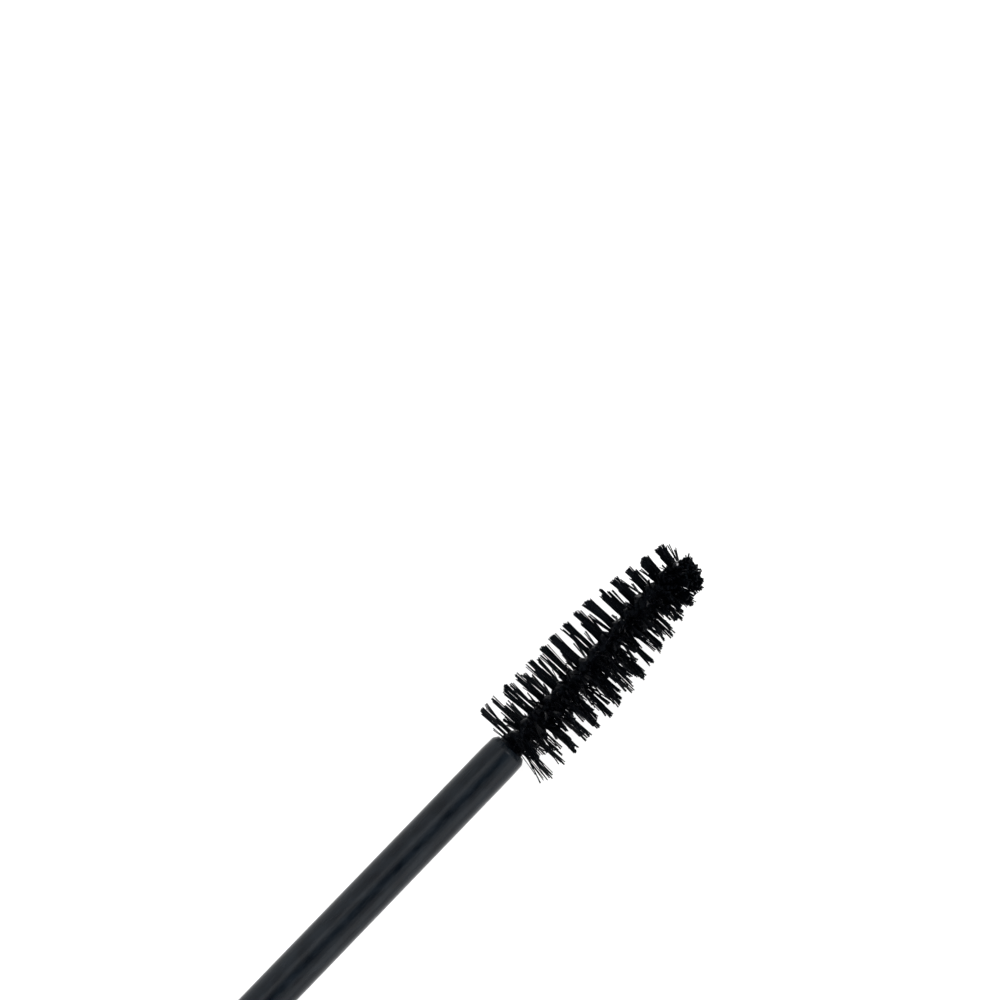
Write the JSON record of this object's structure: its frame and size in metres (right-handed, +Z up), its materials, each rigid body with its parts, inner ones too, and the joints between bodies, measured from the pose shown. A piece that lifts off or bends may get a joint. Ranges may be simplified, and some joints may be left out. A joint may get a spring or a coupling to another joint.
{
  "type": "mascara tube",
  "caption": "Screw-capped mascara: a round tube with its wiper, and the wand with a tapered twisted-wire brush, laid open in line.",
  "frame": {"origin": "centre of the tube's flat base, on the common axis of the tube and the wand", "axes": "+X along the axis from the tube's base to the cap's end, +Z up as the open mascara lies on its side"},
  "size_m": [0.29, 0.018, 0.018],
  "materials": {
    "shell_lacquer": "gloss",
    "inner_plastic": "satin",
    "collar_metal": "satin",
    "wiper_plastic": "satin",
    "formula_paste": "wet",
    "weight_steel": "satin",
    "gasket_foam": "matte",
    "stem_plastic": "satin",
    "wire_steel": "satin",
    "bristle_nylon": "satin"
  },
  "bodies": {
    "tube": {"case_shell": "shell_lacquer", "vial": "inner_plastic", "base_plug": "shell_lacquer", "collar_ring": "collar_metal", "wiper": "wiper_plastic", "formula": "formula_paste"},
    "seal": {"cap_gasket": "gasket_foam"},
    "ballast": {"cap_weight": "weight_steel"},
    "wand": {"cap_shell": "shell_lacquer", "cap_liner": "inner_plastic", "cap_end_disc": "shell_lacquer", "stem": "stem_plastic", "wire_core": "wire_steel", "bristles": "bristle_nylon"}
  },
  "joints": [
    {"name": "wand_insert", "type": "slide", "parent": "tube", "child": "seal", "axis": [-1, 0, 0], "range_m": [0, 0.14625], "deforming": ["bristles"]},
    {"name": "thread_travel", "type": "slide", "parent": "seal", "child": "ballast", "axis": [-1, 0, 0], "range_m": [0, 0.00376]},
    {"name": "cap_twist", "type": "hinge", "parent": "ballast", "child": "wand", "pos_m": [0, 0, 0], "axis": [-1, 0, 0], "range_deg": [0, 540]}
  ],
  "couplings": [
    {"joint": "thread_travel", "follows": "cap_twist", "m_per_rad": 0.00039789}
  ]
}
